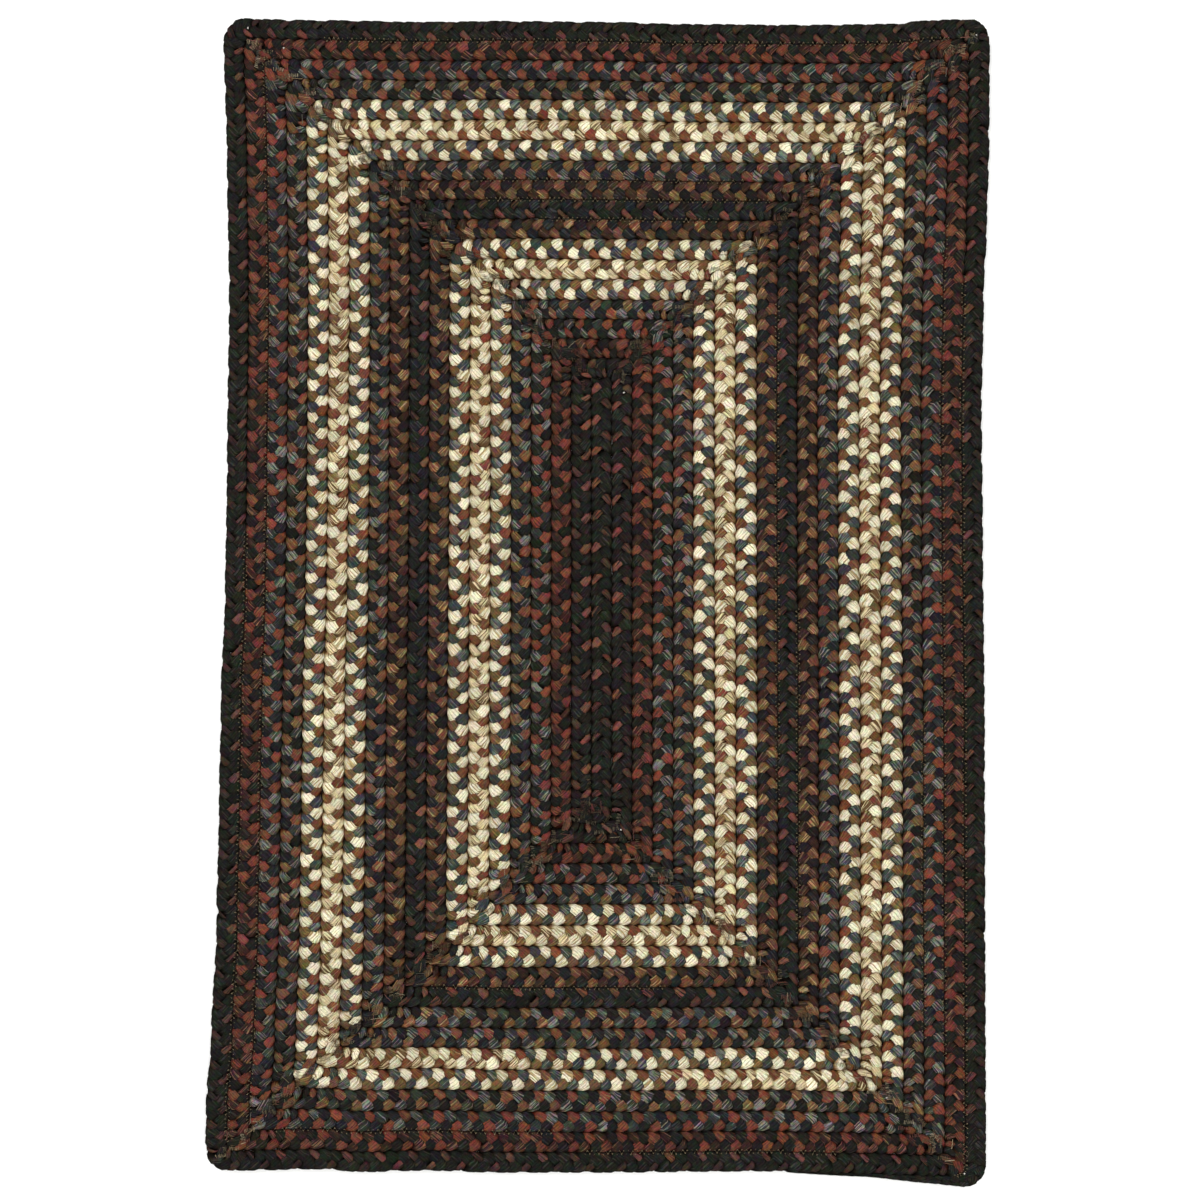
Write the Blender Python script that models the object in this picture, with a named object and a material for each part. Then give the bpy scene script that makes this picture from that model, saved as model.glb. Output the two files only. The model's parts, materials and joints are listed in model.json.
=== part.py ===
# A braided rug: one long three-strand braid, wound clockwise in a rectangular spiral round a
# straight centre run and sewn edge to edge. The rug is one flat solid. Each row of the braid is
# a raised rib on both faces, with a groove at every sewn seam, and the ribs turn each corner on
# a mitre. The outline is as uneven as the hand-laid rows make it.
# Metres, +Z up, +Y along the rug's length; the origin is under the middle of the outline.

import bmesh
import bpy
import numpy as np

# The spiral.
TURNS = 18
CENTRE_LENGTH = 0.2813
CENTRE_WIDTH = 0.0134
SIDES = ("right", "bottom", "left", "top")  # in the order that the braid meets them
ROW_WIDTH = {"right": 0.01372, "bottom": 0.01364, "left": 0.01347, "top": 0.01309}
WIDE_TURNS = (5, 6, 7, 12, 13, 14)  # the bands with the thicker cream strands
WIDE_ROW = 1.02
NARROW_ROW = 0.99

# The cross-section of a row.
THICKNESS = 0.009
SEAM_DEPTH = 0.0021  # of the groove over a seam, on either face
SHOULDER = 0.22  # how far in from a seam the rib's shoulder is, as a share of its width
SHOULDER_DROP = 0.0006  # from the rib's crown, on the upper face; the lower one is flat
CROWN = 0.5
RIM_INSET = 0.0009  # of the rounded edge above and below its middle
RIM_HEIGHTS = (0.75, 0.50, 0.25)  # of the rounded edge's points, as shares of the thickness
START_SLOPE = 0.0045  # of the braid's blunt start at the top of the centre run

# The tail: the braid thins out as it turns the last corner.
TAIL_WIDTHS = (0.0072, 0.0026)  # at the corner, and one station on; it ends at the next

# The stations where the rug is cut across its rows.
STATIONS = 8  # on each straight run
CORNER_RADIUS = 0.0150
CORNER_STEPS = 4

# How far each side bows outward, in metres, at places along it measured from its middle.
# The columns are: place, bow.
UNEVEN = {
    "left": (
        (-0.380, 0.0136),
        (-0.334, 0.0129),
        (-0.294, 0.0096),
        (-0.214, 0.0060),
        (-0.135, 0.0043),
        (-0.065, 0.0030),
        (0.005, 0.0003),
        (0.084, -0.0010),
        (0.204, -0.0023),
        (0.283, -0.0010),
        (0.380, 0.0015),
    ),
    "right": (
        (-0.380, 0.0010),
        (-0.095, 0.0003),
        (0.044, -0.0010),
        (0.124, -0.0017),
        (0.204, -0.0003),
        (0.243, 0.0017),
        (0.300, 0.0033),
        (0.380, 0.0036),
    ),
    "top": (
        (-0.250, 0.0030),
        (-0.199, 0.0016),
        (-0.116, 0.0003),
        (-0.066, 0.0009),
        (0.000, 0.0003),
        (0.050, -0.0011),
        (0.133, -0.0017),
        (0.183, -0.0011),
        (0.216, 0.0016),
        (0.250, 0.0026),
    ),
    "bottom": (
        (-0.250, -0.0012),
        (-0.180, -0.0025),
        (-0.155, -0.0006),
        (-0.116, -0.0016),
        (-0.066, -0.0003),
        (0.000, -0.0003),
        (0.100, -0.0011),
        (0.166, 0.0003),
        (0.214, 0.0016),
        (0.250, 0.0024),
    ),
}
BOW_POWER = 1.5  # how fast the bow fades from the edge towards the centre run

WOOL_COLOUR = (0.030, 0.026, 0.022, 1.0)
WOOL_ROUGHNESS = 0.95


def reach(side, row):
    """How far a side's outer edge is from the centre run when it has that many rows."""
    late = 1 if side == "bottom" else 0  # a new colour starts after the bottom row
    total = 0.0
    for number in range(1, row + 1):
        factor = WIDE_ROW if number - late in WIDE_TURNS else NARROW_ROW
        total += factor * ROW_WIDTH[side]
    return total


def ideal_outline():
    """The middle and the half size of the outline, before its sides bow."""
    right, bottom, left, top = (reach(side, TURNS) for side in SIDES)
    middle = np.array((right - left, top - bottom)) / 2
    half_size = np.array((right + left + CENTRE_WIDTH, top + bottom + CENTRE_LENGTH)) / 2
    return middle, half_size


MIDDLE, HALF_SIZE = ideal_outline()


def outer_line(run):
    """The x or y of the outer edge of a run; runs 0, 4, 8 ... go down the right side."""
    side = SIDES[run % 4]
    row = (run + 3) // 4
    half_width, half_length = CENTRE_WIDTH / 2, CENTRE_LENGTH / 2
    if row < 0:  # the two other edges of the centre run
        return -half_width if side == "right" else half_length
    tail = TAIL_WIDTHS[0] if row > TURNS else 0.0
    out = reach(side, min(row, TURNS)) + tail
    if side in ("right", "left"):
        return half_width + out if side == "right" else -half_width - out
    return half_length + out if side == "top" else -half_length - out


def corner(run):
    """Where the outer edges of a run and of the next one meet."""
    if run % 2 == 0:
        return np.array((outer_line(run), outer_line(run + 1)))
    return np.array((outer_line(run + 1), outer_line(run)))


def seam(station):
    """The point of the outer edge at a station, counted along the whole spiral."""
    run, step = divmod(station, STATIONS)
    start, end = corner(run - 1), corner(run)
    return start + (end - start) * step / STATIONS


def bow(side, place):
    """The side's outward bow at a place along it, eased from each point of its table."""
    places, bows = np.array(UNEVEN[side]).T
    after = int(np.clip(np.searchsorted(places, place), 1, len(places) - 1))
    gap = places[after] - places[after - 1]
    share = np.clip((place - places[after - 1]) / gap, 0.0, 1.0)
    eased = share * share * (3 - 2 * share)
    return bows[after - 1] + (bows[after] - bows[after - 1]) * eased


def uneven(point):
    """A point of the ideal spiral, moved as the rug's bowed sides move it."""
    x, y = point - MIDDLE
    share_x, share_y = abs(point - MIDDLE) / HALF_SIZE
    out_x = bow("right" if x > 0 else "left", y) * share_x**BOW_POWER
    out_y = bow("top" if y > 0 else "bottom", x) * share_y**BOW_POWER
    return point + np.array((np.sign(x) * out_x, np.sign(y) * out_y))


def direction(start, end):
    return (end - start) / np.linalg.norm(end - start)


def left_of(heading):
    """The outward side of a clockwise spiral is on the left of the way that it runs."""
    return np.array((-heading[1], heading[0]))


class RugMesh:
    """The rug's surface: stations along the spiral, each with a line of points across the braid."""

    TURN = 4 * STATIONS
    LAST_CORNER = (4 * TURNS + 1) * STATIONS
    TAIL_TIP = LAST_CORNER + len(TAIL_WIDTHS)
    RIM_START = TAIL_TIP - TURN  # the station of the last bottom row that the tail's tip meets
    ROWS = {"top": (SHOULDER, CROWN, 1 - SHOULDER), "bottom": (SHOULDER, 1 - SHOULDER)}

    def __init__(self):
        self.mesh = bmesh.new()
        self.made = {}

    def vertex(self, key, point, height):
        if key not in self.made:
            x, y = uneven(point)
            self.made[key] = self.mesh.verts.new((x, y, height))
        return self.made[key]

    def face(self, corners):
        """A face through the corners, with those that coincide counted once."""
        ring = [v for k, v in enumerate(corners) if v is not corners[k - 1]]
        if len(ring) > 2:
            self.mesh.faces.new(ring)

    def outer(self, station):
        """The braid's outer edge at a station; along the tail it nears the inner one."""
        beyond = station - self.LAST_CORNER
        if beyond <= 0:
            return seam(station)
        width = TAIL_WIDTHS[beyond] if station < self.TAIL_TIP else 0.0
        return seam(station - self.TURN) - np.array((0.0, width))

    def shared(self, station):
        """One number for the stations that name the same point of a seam."""
        if station == self.TAIL_TIP:
            return self.RIM_START
        if station <= STATIONS - self.TURN:  # both sides of the centre run's left edge
            return -self.TURN - STATIONS - station
        if station < 2 * STATIONS - self.TURN:  # the centre run's foot, where the braid turns back
            return 2 * STATIONS - self.TURN
        return station

    def seam_vertex(self, station, side):
        """A point in the groove over a seam, or on the rim where the tail's tip ends."""
        station = self.shared(station)
        if station == self.RIM_START:
            step, point, out = self.rim_points(station)[0]
            return self.rim_vertices(station, step, point, out)[0 if side == "top" else 2]
        height = THICKNESS - SEAM_DEPTH if side == "top" else SEAM_DEPTH
        return self.vertex((side, station), seam(station), height)

    def rib_vertex(self, station, share, side):
        """A point on a rib, at that share of the braid's width from its inner seam."""
        if station == self.TAIL_TIP:
            return self.seam_vertex(station, side)
        inner = seam(station - self.TURN)
        point = inner + (self.outer(station) - inner) * share
        height = 0.0
        if side == "top":
            height = THICKNESS if share == CROWN else THICKNESS - SHOULDER_DROP
        if station == 0:  # the blunt start of the braid, sloping down to the row above it
            point = point - np.array((0.0, START_SLOPE))
            height = THICKNESS - SEAM_DEPTH if side == "top" else SEAM_DEPTH
        return self.vertex((side, station, share), point, height)

    def across(self, station, side):
        """The line of points across the braid; at the rug's edge it stops at the shoulder."""
        line = [self.seam_vertex(station - self.TURN, side)]
        line += [self.rib_vertex(station, share, side) for share in self.ROWS[side]]
        if station <= self.RIM_START:
            line.append(self.seam_vertex(station, side))
        return line

    def ribs(self, side):
        """One face of the rug, from the centre run out to the outermost shoulder."""
        before = self.across(0, side)
        row_above = [self.seam_vertex(station, side) for station in range(-STATIONS, 1)]
        self.face(row_above + before[-2:0:-1])
        for station in range(1, self.TAIL_TIP + 1):
            after = self.across(station, side)
            for k in range(min(len(before), len(after)) - 1):
                self.face([before[k], before[k + 1], after[k + 1], after[k]])
            before = after

    def rim_points(self, station):
        """The outline's points at a station, several round a corner, as step, point, outward."""
        point = self.outer(station)
        before = direction(self.outer(station - 1), point)
        if station % STATIONS:
            return [(0, point, left_of(before))]
        after = direction(point, self.outer(station + 1))
        middle = point + (after - before) * CORNER_RADIUS
        arc = []
        for step in range(CORNER_STEPS + 1):
            angle = np.pi / 2 * step / CORNER_STEPS
            out = left_of(before) * np.cos(angle) + left_of(after) * np.sin(angle)
            arc.append((step, middle + out * CORNER_RADIUS, out))
        return arc

    def rim_vertices(self, station, step, point, out):
        """The rounded edge's upper, middle and lower vertex at a point of the outline."""
        edge = []
        for share in RIM_HEIGHTS:
            inset = 0.0 if share == RIM_HEIGHTS[1] else RIM_INSET
            key = ("rim", station, step, share)
            edge.append(self.vertex(key, point - out * inset, THICKNESS * share))
        return edge

    def rim(self):
        """The rug's edge, between the outermost shoulders of its two faces."""
        shoulder = 1 - SHOULDER
        columns = []
        for station in range(self.RIM_START, self.TAIL_TIP):
            top = self.rib_vertex(station, shoulder, "top")
            bottom = self.rib_vertex(station, shoulder, "bottom")
            for step, point, out in self.rim_points(station):
                edge = self.rim_vertices(station, step, point, out)
                columns.append([top] + edge + [bottom])
        tip = columns[0][1:4]
        columns.append([tip[0]] + tip + [tip[2]])
        for before, after in zip(columns, columns[1:]):
            for k in range(len(before) - 1):
                self.face([before[k], before[k + 1], after[k + 1], after[k]])


def wool():
    """Dyed wool blend, matt and dark as a whole."""
    material = bpy.data.materials.new("braided_wool")
    material.use_nodes = True
    shader = material.node_tree.nodes["Principled BSDF"]
    shader.inputs["Base Color"].default_value = WOOL_COLOUR
    shader.inputs["Roughness"].default_value = WOOL_ROUGHNESS
    shader.inputs["Metallic"].default_value = 0.0
    return material


def braided_rug():
    """The whole rug, with its outline centred on the origin and its underside on the floor."""
    rug = RugMesh()
    rug.ribs("top")
    rug.ribs("bottom")
    rug.rim()
    places = np.array([v.co for v in rug.mesh.verts])
    middle = (places.min(axis=0) + places.max(axis=0)) / 2
    bmesh.ops.translate(rug.mesh, verts=rug.mesh.verts, vec=(-middle[0], -middle[1], 0.0))
    bmesh.ops.recalc_face_normals(rug.mesh, faces=rug.mesh.faces)
    bmesh.ops.triangulate(rug.mesh, faces=rug.mesh.faces)
    mesh = bpy.data.meshes.new("braided_rug")
    rug.mesh.to_mesh(mesh)
    rug.mesh.free()
    mesh.shade_smooth()
    mesh.materials.append(wool())
    thing = bpy.data.objects.new("braided_rug", mesh)
    bpy.context.scene.collection.objects.link(thing)
    return thing


def main():
    for old in list(bpy.data.objects):
        bpy.data.objects.remove(old)
    braided_rug()


main()
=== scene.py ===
# Looks for the braided rug: the three strands of the plait in their dyed yarns, the sewing
# thread, and the studio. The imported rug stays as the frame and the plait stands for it.
# Everything is in metres in the frame's own axes: +Z up, +Y towards the centre run's start.
import json
import math

import bpy
import numpy as np
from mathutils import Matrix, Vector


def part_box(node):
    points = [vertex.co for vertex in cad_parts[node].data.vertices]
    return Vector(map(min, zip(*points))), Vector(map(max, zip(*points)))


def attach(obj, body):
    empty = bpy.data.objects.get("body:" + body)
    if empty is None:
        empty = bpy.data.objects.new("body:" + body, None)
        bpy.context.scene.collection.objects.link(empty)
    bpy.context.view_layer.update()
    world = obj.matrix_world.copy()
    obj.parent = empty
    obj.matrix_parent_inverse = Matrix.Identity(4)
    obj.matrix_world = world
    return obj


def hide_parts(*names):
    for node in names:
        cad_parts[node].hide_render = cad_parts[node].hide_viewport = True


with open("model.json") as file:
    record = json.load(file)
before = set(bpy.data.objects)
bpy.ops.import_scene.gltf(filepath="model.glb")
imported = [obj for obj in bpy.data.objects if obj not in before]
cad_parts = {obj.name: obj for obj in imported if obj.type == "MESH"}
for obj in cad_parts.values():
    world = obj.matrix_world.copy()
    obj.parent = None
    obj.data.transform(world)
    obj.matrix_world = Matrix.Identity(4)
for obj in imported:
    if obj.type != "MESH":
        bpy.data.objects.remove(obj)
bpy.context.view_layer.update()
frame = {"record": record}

mm = 0.001
hair = 1e-9  # keeps a length from being nothing where it is divided by
rugNode = "braided_rug"
rugLow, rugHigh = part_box(rugNode)
rugHeight = rugHigh.z - rugLow.z
# the flat mount is under the middle of the centre run, so it places the spiral in the frame
centreSpot = np.array(frame["record"]["mounts"][0]["pos_m"][:2])

# The spiral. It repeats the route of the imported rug: right, bottom, left and top sides in turn.
spiral = {
    "turns": 18,
    "centreLength": 281.3 * mm,
    "centreWidth": 13.4 * mm,
    "rowWidth": (13.72 * mm, 13.64 * mm, 13.47 * mm, 13.09 * mm),  # right, bottom, left, top
    "wideTurns": (5, 6, 7, 12, 13, 14),  # turns with plump cream strands
    "wideRow": 1.02,
    "narrowRow": 0.99,
    "tailWidth": (7.2 * mm, 2.6 * mm, 0.8 * mm),  # at the last corner, halfway and at the tip
    "tailLength": 0.25,  # share of the bottom side
    "tailHeight": (1, 0.92, 0.5),  # share of the full height: before and at the last corner, at the tip
    "tailSlope": 20 * mm,  # how far before the last corner the braid starts to thin
    # the radius of a run's outer seam where the run ends, by run: larger round the cream bands,
    # most of all at the top left, and at the rug's own corners
    "cornerRadius": ((-4, 0), (-1, 2 * mm), (0, 6 * mm), (1, 6 * mm), (3, 3 * mm), (21, 4 * mm),
                     (22, 6 * mm), (23, 4 * mm), (24, 4 * mm), (25, 8 * mm), (26, 15 * mm),
                     (27, 6 * mm), (28, 4 * mm), (29, 7 * mm), (30, 11 * mm), (31, 5 * mm),
                     (32, 4 * mm), (49, 4 * mm), (50, 7 * mm), (51, 6 * mm), (52, 4 * mm),
                     (53, 8 * mm), (54, 13 * mm), (55, 10 * mm), (56, 5 * mm), (57, 7 * mm),
                     (58, 10 * mm), (59, 7 * mm), (60, 4 * mm), (68, 7 * mm),
                     (69, 15 * mm), (73, 15 * mm)),
    "fan": 24 * mm,  # how far from a corner the lobes start to fan out
    "turnReach": 4 * mm,  # over which a lobe takes the row's heading, before and after it
    "give": 0.25,  # how much a lobe itself shears in the fan; the rest of it only turns
    "crowd": 0.20,  # how much closer the lobes are plaited near a corner
    "crowdReach": 1.6,  # fans from a corner to where the crowding ends
    "bowPower": 1.5,  # how fast the bow of a side fades towards the middle
}

# How far each side bows outward, as (place along the side from its middle, bow), in metres.
sideBow = {
    "left": ((-.380, .0136), (-.334, .0129), (-.294, .0096), (-.214, .0060), (-.135, .0043),
             (-.065, .0030), (.005, .0003), (.084, -.0010), (.204, -.0023), (.283, -.0010),
             (.380, .0015)),
    "right": ((-.380, .0010), (-.095, .0003), (.044, -.0010), (.124, -.0017), (.204, -.0003),
              (.243, .0017), (.300, .0033), (.380, .0036)),
    "top": ((-.250, .0030), (-.199, .0016), (-.116, .0003), (-.066, .0009), (.000, .0003),
            (.050, -.0011), (.133, -.0017), (.183, -.0011), (.216, .0016), (.250, .0026)),
    "bottom": ((-.250, -.0012), (-.180, -.0025), (-.155, -.0006), (-.116, -.0016),
               (-.066, -.0003), (.000, -.0003), (.100, -.0011), (.166, .0003), (.214, .0016),
               (.250, .0024)),
}

heading = np.array(((0, -1), (-1, 0), (0, 1), (1, 0)), float)  # of a right, bottom, left, top run
outward = np.array(((1, 0), (0, -1), (-1, 0), (0, 1)), float)
lastRun = 4 * spiral["turns"] + 1  # the tail, under the last bottom row


# The distance from the centre run to a side's outer edge, as the sum of its rows' widths.
def sideReach(side, rows):
    late = 1 if side == 1 else 0  # the colours change after the bottom row
    factors = [spiral["wideRow"] if n - late in spiral["wideTurns"] else spiral["narrowRow"]
               for n in range(1, rows + 1)]
    return sum(factors) * spiral["rowWidth"][side]


# The x or y of a run's outer edge, signed; runs 0, 4, 8 ... go down the right side.
def edgeOf(run):
    side, row = run % 4, (run + 3) // 4
    half = (spiral["centreWidth"] if side in (0, 2) else spiral["centreLength"]) / 2
    if row < 0:
        return -half if side == 0 else half
    out = half + sideReach(side, min(row, spiral["turns"]))
    if row > spiral["turns"]:
        out += spiral["tailWidth"][0]
    return out if side in (0, 3) else -out


# The outer corner at the end of a run: the x and y of its own edge and of the next run's.
def cornerOf(run):
    pair = (edgeOf(run), edgeOf(run + 1))
    return pair if run % 2 == 0 else pair[::-1]


# Every run has an inner and an outer corner at its end; the line between them is the mitre.
runs = np.arange(-1, lastRun + 1)
innerCorner = np.array([cornerOf(run - 4) for run in runs])
outerCorner = np.array([cornerOf(run) for run in runs])
roundRuns, roundSizes = np.array(spiral["cornerRadius"]).T
innerRound = np.interp(runs - 4, roundRuns, roundSizes)
outerRound = np.interp(runs, roundRuns, roundSizes)
innerRound[0] = outerRound[0] = 0  # the blunt start of the braid
middleRound = (innerRound + outerRound) / 2
middleCornerSpot = (innerCorner + outerCorner) / 2
tailReach = spiral["tailLength"] * abs(cornerOf(lastRun - 4)[0] - cornerOf(lastRun - 5)[0])
middleCornerSpot[-1] = middleCornerSpot[-2] + heading[lastRun % 4] * tailReach
middleRound[-1] = 0

# Centreline lengths: a straight and a quarter circle for each run.
straight = np.linalg.norm(middleCornerSpot[1:] - middleCornerSpot[:-1], axis=1)
straight -= middleRound[1:] + middleRound[:-1]
bend = middleRound[1:] * math.pi / 2
runStart = np.concatenate(([0], np.cumsum(straight + bend)))  # where each run starts
routeLength = runStart[-1]
routeEnd = routeLength - 1e-6  # just inside the last run
print(f"route: {len(straight)} runs, {routeLength:.2f} m of braid")


# A point of the ideal spiral from its distance along the centreline and its share of the
# braid's width, 0 at the inner seam and 1 at the outer. On a straight the point is the inner
# corner plus the way along plus the share of the width; near a corner the way along is
# stretched outside and shortened inside. On a bend it turns about that share's own centre.
def onSpiral(along, share):
    run = np.clip(np.searchsorted(runStart, along, side="right") - 1, 0, len(straight) - 1)
    side = (run + runs[0] + 1) % 4
    ahead, out, turned = heading[side], outward[side], heading[(side + 1) % 4]
    first, last = run, run + 1  # rows of the corner tables
    gone = np.clip(along - runStart[run], 0, straight[run])
    left = straight[run] - gone
    fan = np.minimum(spiral["fan"], straight[run] / 2)
    centred = share - 0.5
    mitre = outerCorner - innerCorner
    firstRound = innerRound[first] * (1 - share) + outerRound[first] * share
    lastRound = innerRound[last] * (1 - share) + outerRound[last] * share
    isTail = run == len(straight) - 1
    startShift = centred * (mitre[first] * ahead).sum(1) + firstRound - middleRound[first]
    endShift = centred * (mitre[last] * ahead).sum(1) - (lastRound - middleRound[last])
    endShift = np.where(isTail, 0, endShift)
    begin = ((middleCornerSpot[first] - innerCorner[first]) * ahead).sum(1) + middleRound[first]
    way = begin + gone + startShift * np.clip(1 - gone / fan, 0, 1)
    way += endShift * np.clip(1 - left / fan, 0, 1)
    width = np.abs((mitre[first] * out).sum(1))
    tailWidth = np.interp(way, np.array((0, 0.5, 1)) * tailReach, spiral["tailWidth"])
    width = np.where(isTail, tailWidth, width)
    spot = innerCorner[first] + ahead * way[:, None] + out * (share * width)[:, None]
    angle = np.clip((along - runStart[run] - straight[run]) / np.maximum(middleRound[last], 1e-6),
                    0, math.pi / 2)
    bending = (angle > 0) & ~isTail
    centre = innerCorner[last] + mitre[last] * share[:, None]
    centre += (turned - ahead) * lastRound[:, None]
    swing = ahead * np.sin(angle)[:, None] - turned * np.cos(angle)[:, None]
    bent = centre + swing * lastRound[:, None]
    return np.where(bending[:, None], bent, spot)


# The row at a strand's middle: the unit vectors ahead and outward, its width, and the length of
# the middle's own line beside the centreline's.
def rowFrame(along, share):
    back = np.clip(along - spiral["turnReach"], 0, routeEnd)
    front = np.clip(along + spiral["turnReach"], 0, routeEnd)
    way = onSpiral(front, share) - onSpiral(back, share)
    length = np.linalg.norm(way, axis=1)
    ahead = way / length[:, None]
    out = np.stack((-ahead[:, 1], ahead[:, 0]), 1)
    width = ((onSpiral(along, share * 0 + 1) - onSpiral(along, share * 0)) * out).sum(1)
    return ahead, out, width, length / (front - back)


# How far points lie outside a seam near a corner, and the way out: the seam is two straight
# lines joined by a quarter circle, and inside it the distance is negative. A hair is added on
# the nearer side, so that a point inside both lines has a way out too.
def pastSeam(spot, corner, seamCorner, seamRound):
    axes = np.stack((outward[(corner - 1) % 4], outward[corner % 4]), 1)
    radius = seamRound[corner]
    over = (axes * (spot - seamCorner[corner])[:, None]).sum(2) + radius[:, None]
    beyond = np.maximum(over, 0)
    beyond += (over.max(1) <= 0)[:, None] * (over == over.max(1)[:, None]) * hair
    size = np.linalg.norm(beyond, axis=1)
    way = (axes * (beyond / size[:, None])[..., None]).sum(1)
    return size + np.minimum(over.max(1), 0) - radius, way


# Points set off from a strand's middle by a share of the width and a way forward. They are set
# off square to the row, moved a little towards where the fan alone would put them, and then
# held between the two seams of the row.
def offStrand(along, middleShare, share, forward, lap):
    ahead, out, width, stretch = rowFrame(along, middleShare)
    forward = forward * np.minimum(stretch, 1)[:, None]
    aside = (share - middleShare[:, None]) * width[:, None]
    spot = onSpiral(along, middleShare)[:, None] + ahead[:, None] * forward[..., None]
    spot = (spot + out[:, None] * aside[..., None]).reshape(-1, 2)
    reach = np.clip(along[:, None] + forward, 0, routeEnd)
    spot += spiral["give"] * (onSpiral(reach.ravel(), share.ravel()) - spot)
    run = np.clip(np.searchsorted(runStart, along, side="right") - 1, 0, len(straight) - 1)
    corner = run + (along - runStart[run] > straight[run] / 2)
    corner = np.repeat(np.where(run == lastRun, run, corner), share.shape[1])
    past, way = pastSeam(spot, corner, outerCorner, outerRound)
    spot -= way * np.maximum(past - lap, 0)[:, None]
    past, way = pastSeam(spot, corner, innerCorner, innerRound)
    return spot + way * np.maximum(-lap - past, 0)[:, None]


# The outward bow at places along a side: each gap of its table is eased as 3t^2 - 2t^3.
def bowOf(side, place):
    marks, bows = np.array(sideBow[side]).T
    after = np.clip(np.searchsorted(marks, place), 1, len(marks) - 1)
    share = np.clip((place - marks[after - 1]) / (marks[after] - marks[after - 1]), 0, 1)
    return bows[after - 1] + (bows[after] - bows[after - 1]) * share * share * (3 - 2 * share)


# The outer edges of the last turn, without the tail and without the bow.
rightTop = np.array((edgeOf(lastRun - 1), edgeOf(lastRun - 2)))
leftBottom = np.array((edgeOf(lastRun - 3), edgeOf(lastRun - 4)))
halfSize = (rightTop - leftBottom) / 2
middle = (rightTop + leftBottom) / 2


# The spiral as it really lies: a point moves out with its side's bow, times its distance from
# the middle as a share of the half size, to the bow's power.
def settled(flat):
    x, y = (flat - middle).T
    near = np.minimum(np.abs(flat - middle) / halfSize, 1) ** spiral["bowPower"]
    bowX = np.where(x > 0, bowOf("right", y), bowOf("left", y)) * near[:, 0] * np.sign(x)
    bowY = np.where(y > 0, bowOf("top", x), bowOf("bottom", x)) * near[:, 1] * np.sign(y)
    return flat + np.stack((bowX, bowY), 1) + centreSpot


# An sRGB colour, written as hex, in the linear values that Blender takes.
def linearColour(text):
    value = np.array([int(text[i:i + 2], 16) for i in (1, 3, 5)]) / 255
    return np.where(value <= 0.04045, value / 12.92, ((value + 0.055) / 1.055) ** 2.4)


# The yarns, as sRGB. A strand is a bundle of plies of two dyes, one on either side of it, with
# a share of lighter or darker plies run in; thick is its width beside an even strand's.
yarns = {
    "cream": {"dyes": ("#CCC6AB", "#CCC6AA"), "fleck": "#94815B", "share": 0.24, "thick": 1.13},
    "creamThin": {"dyes": ("#C0B28B", "#C4B691"), "fleck": "#564028", "share": 0.36, "thick": 0.86},
    "brown": {"dyes": ("#58442E", "#603928"), "fleck": "#765C39", "share": 0.16, "thick": 0.94},
    "brownCream": {"dyes": ("#5B3F2A", "#613928"), "fleck": "#887653", "share": 0.16, "thick": 0.92},
    "slate": {"dyes": ("#313534", "#333735"), "fleck": "#696A62", "share": 0.27, "thick": 0.97},
    "slateLight": {"dyes": ("#2A2C29", "#2C2E2B"), "fleck": "#716D65", "share": 0.29, "thick": 1.0},
    "rust": {"dyes": ("#67382C", "#65382B"), "fleck": "#472A21", "share": 0.18, "thick": 0.90},
    "rustDeep": {"dyes": ("#62372B", "#64372B"), "fleck": "#3F241D", "share": 0.28, "thick": 0.90},
    "rustOlive": {"dyes": ("#593F2D", "#623A2C"), "fleck": "#7F6A49", "share": 0.17, "thick": 0.94},
    "rustStripe": {"dyes": ("#2E1F1B", "#2B1D19"), "fleck": "#6E4F3F", "share": 0.20, "thick": 0.84},
    "umber": {"dyes": ("#35241D", "#32201A"), "fleck": "#614234", "share": 0.18, "thick": 0.87},
    "tanOlive": {"dyes": ("#5D3D2B", "#59412D"), "fleck": "#8D7854", "share": 0.17, "thick": 0.97},
    "mauve": {"dyes": ("#33231B", "#30211A"), "fleck": "#5A4439", "share": 0.20, "thick": 0.86},
    "ember": {"dyes": ("#4C342A", "#6B4438"), "fleck": "#1F1B19", "share": 0.34, "thick": 0.60},
    "emberEdge": {"dyes": ("#382924", "#5E3D35"), "fleck": "#1F1B19", "share": 0.34, "thick": 0.58},
    "black": {"dyes": ("#191815", "#191815"), "fleck": "#2F2D28", "share": 0.17, "thick": 1.15},
    "greenBlack": {"dyes": ("#181A15", "#181A15"), "fleck": "#2D2F2A", "share": 0.17, "thick": 1.15},
    "navy": {"dyes": ("#1A1A1B", "#1B1B1B"), "fleck": "#303131", "share": 0.18, "thick": 1.06},
    "plum": {"dyes": ("#1C1717", "#1B1716"), "fleck": "#2A2727", "share": 0.18, "thick": 1.06},
}

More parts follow.
